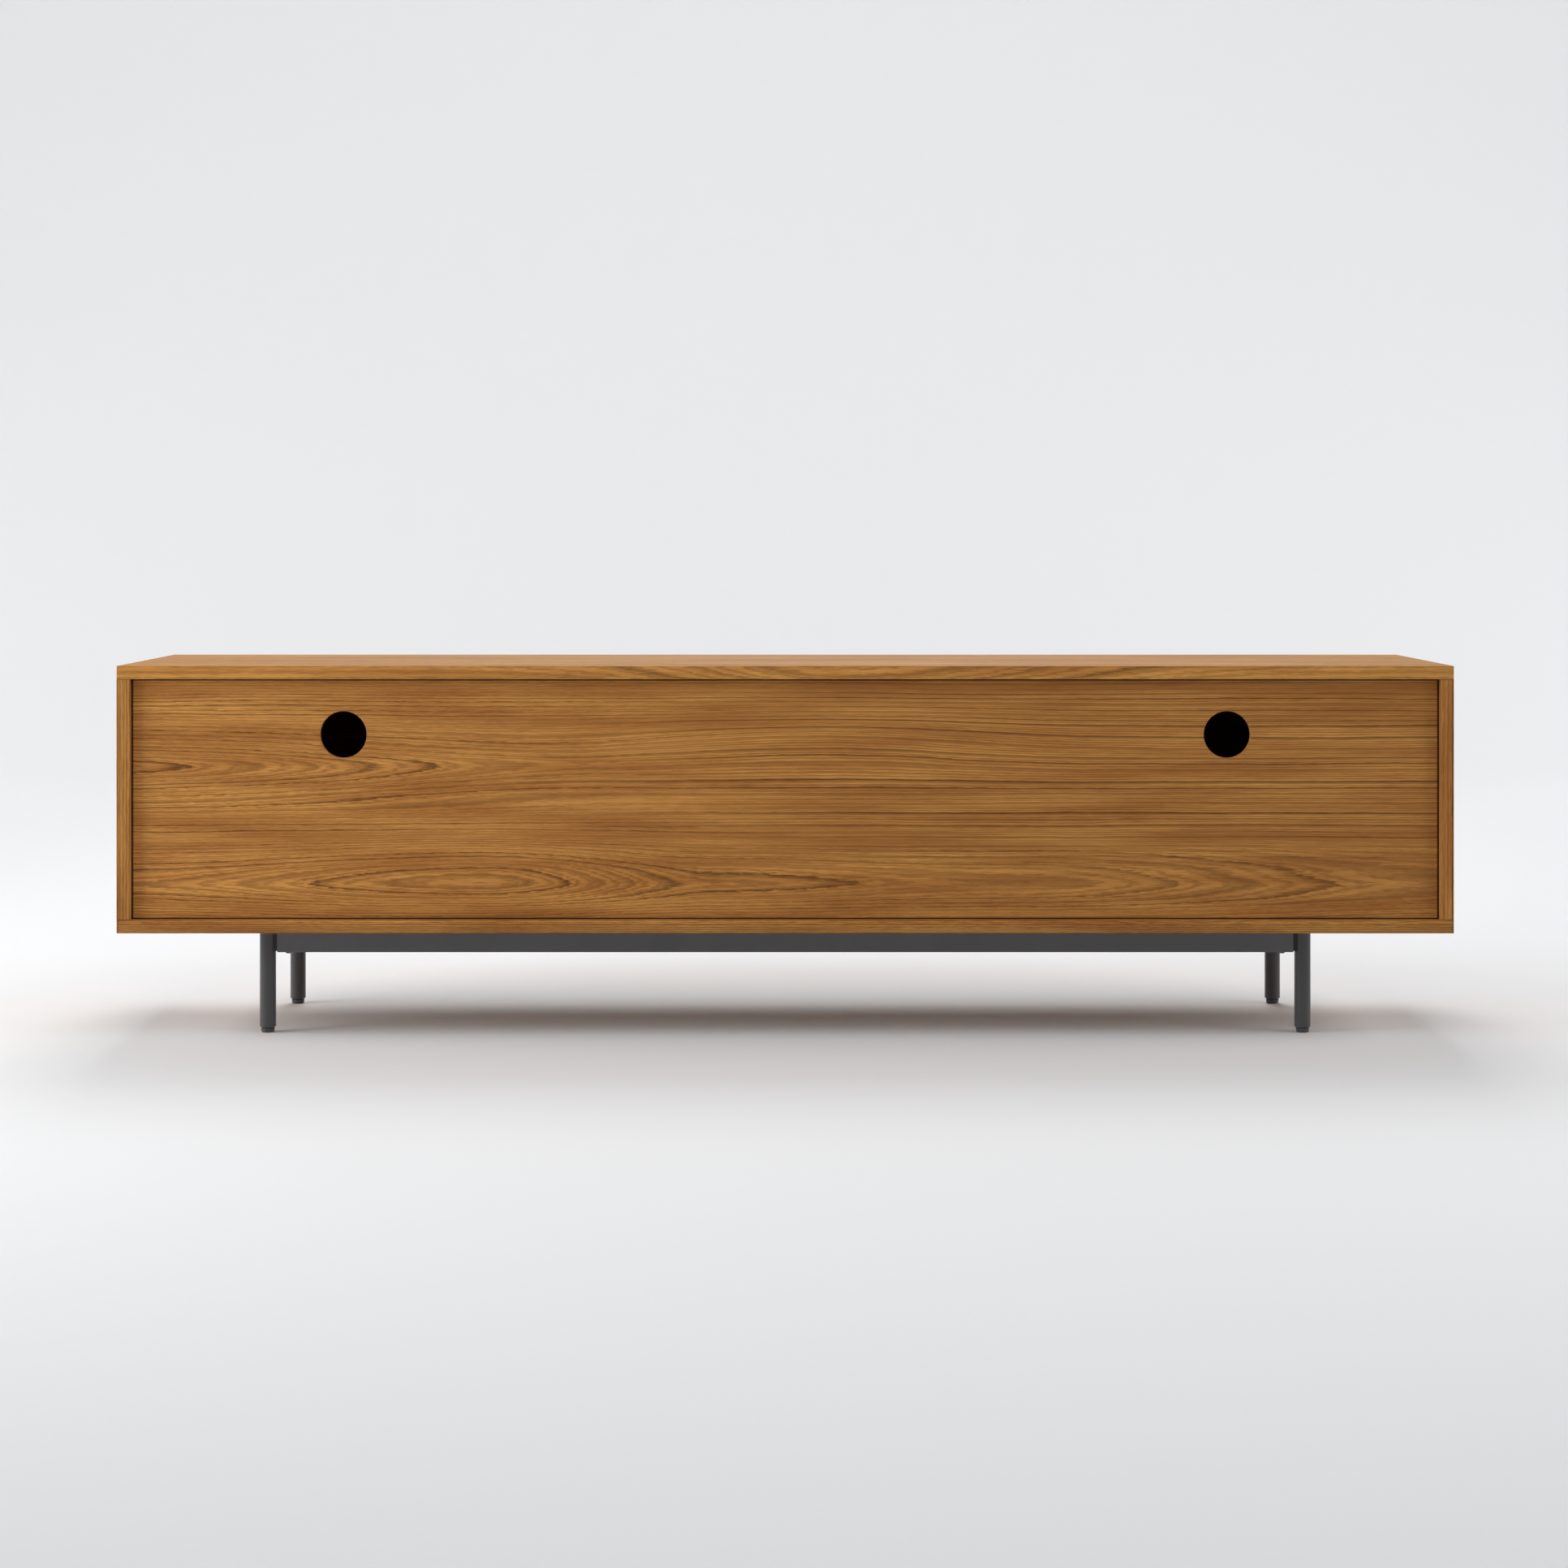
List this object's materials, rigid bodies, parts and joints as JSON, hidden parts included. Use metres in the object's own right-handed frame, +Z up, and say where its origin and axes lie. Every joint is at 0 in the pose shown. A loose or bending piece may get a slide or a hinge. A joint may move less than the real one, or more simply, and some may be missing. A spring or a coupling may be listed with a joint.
{
  "type": "media cabinet",
  "caption": "Low wide veneered media cabinet on slim round steel legs, with a door at each end, drawers between them and round cable holes through its back.",
  "frame": {"origin": "on the floor, under the middle of the case", "axes": "+Z up, the front with its doors and drawers faces -Y, the back with its cable holes faces +Y, +X is the right hand of a person facing the front"},
  "size_m": [1.8, 0.4, 0.503],
  "materials": {
    "walnut_veneer": "clear satin lacquer",
    "drawer_wood": "clear matt lacquer",
    "dowel_wood": "raw",
    "black_steel": "satin powder coat",
    "zinc_steel": "zinc plated",
    "bright_steel": "nickel plated",
    "foot_plastic": "moulded"
  },
  "bodies": {
    "cabinet": {"back_panel": "walnut_veneer", "base_plates": "black_steel", "base_screws": "black_steel", "bottom_panel": "walnut_veneer", "case_dowels": "dowel_wood", "case_hinge_leaves": "bright_steel", "case_hinge_screws": "bright_steel", "case_magnets": "bright_steel", "front_left_leg": "black_steel", "front_rail": "black_steel", "front_right_leg": "black_steel", "left_cross_rail": "black_steel", "left_divider": "walnut_veneer", "left_shelf": "walnut_veneer", "left_side_panel": "walnut_veneer", "leg_inserts": "zinc_steel", "rail_stubs": "black_steel", "rear_left_leg": "black_steel", "rear_rail": "black_steel", "rear_right_leg": "black_steel", "right_cross_rail": "black_steel", "right_divider": "walnut_veneer", "right_shelf": "walnut_veneer", "right_side_panel": "walnut_veneer", "shelf_pins": "bright_steel", "slide_case_members": "zinc_steel", "slide_case_screws": "zinc_steel", "top_panel": "walnut_veneer"},
    "left_door": {"left_door": "walnut_veneer", "left_door_knob": "black_steel", "left_door_hinge_leaves": "bright_steel", "left_door_hinge_screws": "bright_steel", "left_door_magnets": "bright_steel"},
    "right_door": {"right_door": "walnut_veneer", "right_door_knob": "black_steel", "right_door_hinge_leaves": "bright_steel", "right_door_hinge_screws": "bright_steel", "right_door_magnets": "bright_steel"},
    "upper_drawer": {"upper_drawer_front": "walnut_veneer", "upper_drawer_knob": "black_steel", "upper_drawer_sides": "drawer_wood", "upper_drawer_back": "drawer_wood", "upper_drawer_bottom": "drawer_wood", "upper_drawer_slide_members": "zinc_steel"},
    "upper_middle_members": {"upper_middle_slide_members": "zinc_steel"},
    "lower_drawer": {"lower_drawer_front": "walnut_veneer", "lower_drawer_knob": "black_steel", "lower_drawer_sides": "drawer_wood", "lower_drawer_back": "drawer_wood", "lower_drawer_bottom": "drawer_wood", "lower_drawer_slide_members": "zinc_steel"},
    "lower_middle_members": {"lower_middle_slide_members": "zinc_steel"},
    "front_left_pad": {"front_left_foot_pad": "foot_plastic"},
    "front_left_stud": {"front_left_foot_stud": "zinc_steel"},
    "front_right_pad": {"front_right_foot_pad": "foot_plastic"},
    "front_right_stud": {"front_right_foot_stud": "zinc_steel"},
    "rear_left_pad": {"rear_left_foot_pad": "foot_plastic"},
    "rear_left_stud": {"rear_left_foot_stud": "zinc_steel"},
    "rear_right_pad": {"rear_right_foot_pad": "foot_plastic"},
    "rear_right_stud": {"rear_right_foot_stud": "zinc_steel"}
  },
  "joints": [
    {"name": "left_door_hinge", "type": "hinge", "parent": "cabinet", "child": "left_door", "pos_m": [-0.8715, -0.173, 0.323], "axis": [0, 0, -1], "range_deg": [0, 95]},
    {"name": "right_door_hinge", "type": "hinge", "parent": "cabinet", "child": "right_door", "pos_m": [0.8715, -0.173, 0.323], "axis": [0, 0, 1], "range_deg": [0, 95]},
    {"name": "upper_drawer_slide", "type": "slide", "parent": "cabinet", "child": "upper_drawer", "axis": [0, -1, 0], "range_m": [0, 0.29]},
    {"name": "upper_middle_slide", "type": "slide", "parent": "cabinet", "child": "upper_middle_members", "axis": [0, -1, 0], "range_m": [0, 0.1455]},
    {"name": "lower_drawer_slide", "type": "slide", "parent": "cabinet", "child": "lower_drawer", "axis": [0, -1, 0], "range_m": [0, 0.29]},
    {"name": "lower_middle_slide", "type": "slide", "parent": "cabinet", "child": "lower_middle_members", "axis": [0, -1, 0], "range_m": [0, 0.1455]},
    {"name": "front_left_foot_lift", "type": "slide", "parent": "cabinet", "child": "front_left_pad", "axis": [0, 0, -1], "range_m": [0, 0.01]},
    {"name": "front_left_foot_turn", "type": "hinge", "parent": "front_left_pad", "child": "front_left_stud", "pos_m": [-0.707, -0.133, 0.02], "axis": [0, 0, 1], "range_deg": [0, 2884]},
    {"name": "front_right_foot_lift", "type": "slide", "parent": "cabinet", "child": "front_right_pad", "axis": [0, 0, -1], "range_m": [0, 0.01]},
    {"name": "front_right_foot_turn", "type": "hinge", "parent": "front_right_pad", "child": "front_right_stud", "pos_m": [0.707, -0.133, 0.02], "axis": [0, 0, 1], "range_deg": [0, 2884]},
    {"name": "rear_left_foot_lift", "type": "slide", "parent": "cabinet", "child": "rear_left_pad", "axis": [0, 0, -1], "range_m": [0, 0.01]},
    {"name": "rear_left_foot_turn", "type": "hinge", "parent": "rear_left_pad", "child": "rear_left_stud", "pos_m": [-0.707, 0.133, 0.02], "axis": [0, 0, 1], "range_deg": [0, 2884]},
    {"name": "rear_right_foot_lift", "type": "slide", "parent": "cabinet", "child": "rear_right_pad", "axis": [0, 0, -1], "range_m": [0, 0.01]},
    {"name": "rear_right_foot_turn", "type": "hinge", "parent": "rear_right_pad", "child": "rear_right_stud", "pos_m": [0.707, 0.133, 0.02], "axis": [0, 0, 1], "range_deg": [0, 2884]}
  ],
  "couplings": [
    {"joint": "upper_middle_slide", "follows": "upper_drawer_slide", "ratio": 0.5},
    {"joint": "lower_middle_slide", "follows": "lower_drawer_slide", "ratio": 0.5},
    {"joint": "front_left_foot_turn", "follows": "front_left_foot_lift", "rad_per_m": 5026.5},
    {"joint": "front_right_foot_turn", "follows": "front_right_foot_lift", "rad_per_m": 5026.5},
    {"joint": "rear_left_foot_turn", "follows": "rear_left_foot_lift", "rad_per_m": 5026.5},
    {"joint": "rear_right_foot_turn", "follows": "rear_right_foot_lift", "rad_per_m": 5026.5}
  ]
}
